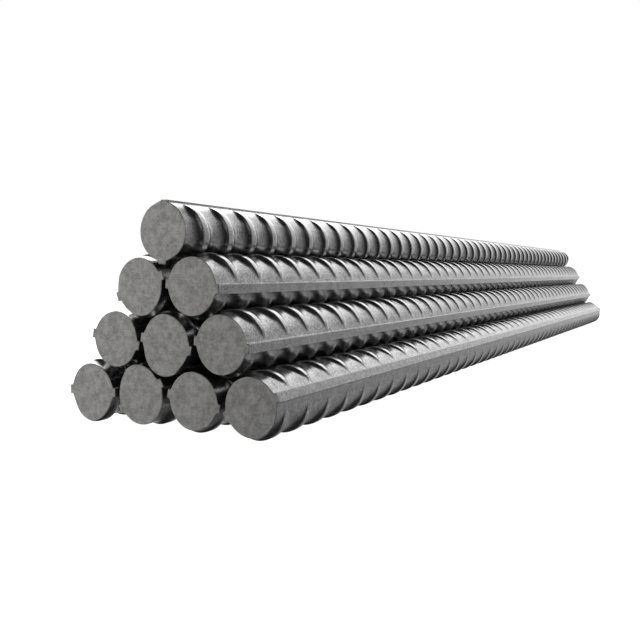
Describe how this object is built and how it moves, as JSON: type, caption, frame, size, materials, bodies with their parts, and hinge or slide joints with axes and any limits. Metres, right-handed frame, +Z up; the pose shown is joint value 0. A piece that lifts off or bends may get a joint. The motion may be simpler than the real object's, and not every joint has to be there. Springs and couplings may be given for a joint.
{
  "type": "rebar bundle",
  "caption": "Pile of ribbed steel reinforcing bars, cut to one length and laid in rows that narrow to the top.",
  "frame": {"origin": "on the floor under the middle of the pile", "axes": "+Y along the bars, +Z up, so the sawn ends face -Y and +Y"},
  "size_m": [0.1414, 1.015, 0.1229],
  "materials": {
    "rolled_steel": "hot-rolled, satin grey, sawn ends plain and matt"
  },
  "bodies": {
    "root": {"bar_bottom_1": "rolled_steel", "bar_bottom_2": "rolled_steel", "bar_bottom_3": "rolled_steel", "bar_bottom_4": "rolled_steel", "bar_second_1": "rolled_steel", "bar_second_2": "rolled_steel", "bar_second_3": "rolled_steel", "bar_third_1": "rolled_steel", "bar_third_2": "rolled_steel", "bar_top": "rolled_steel"}
  },
  "joints": []
}
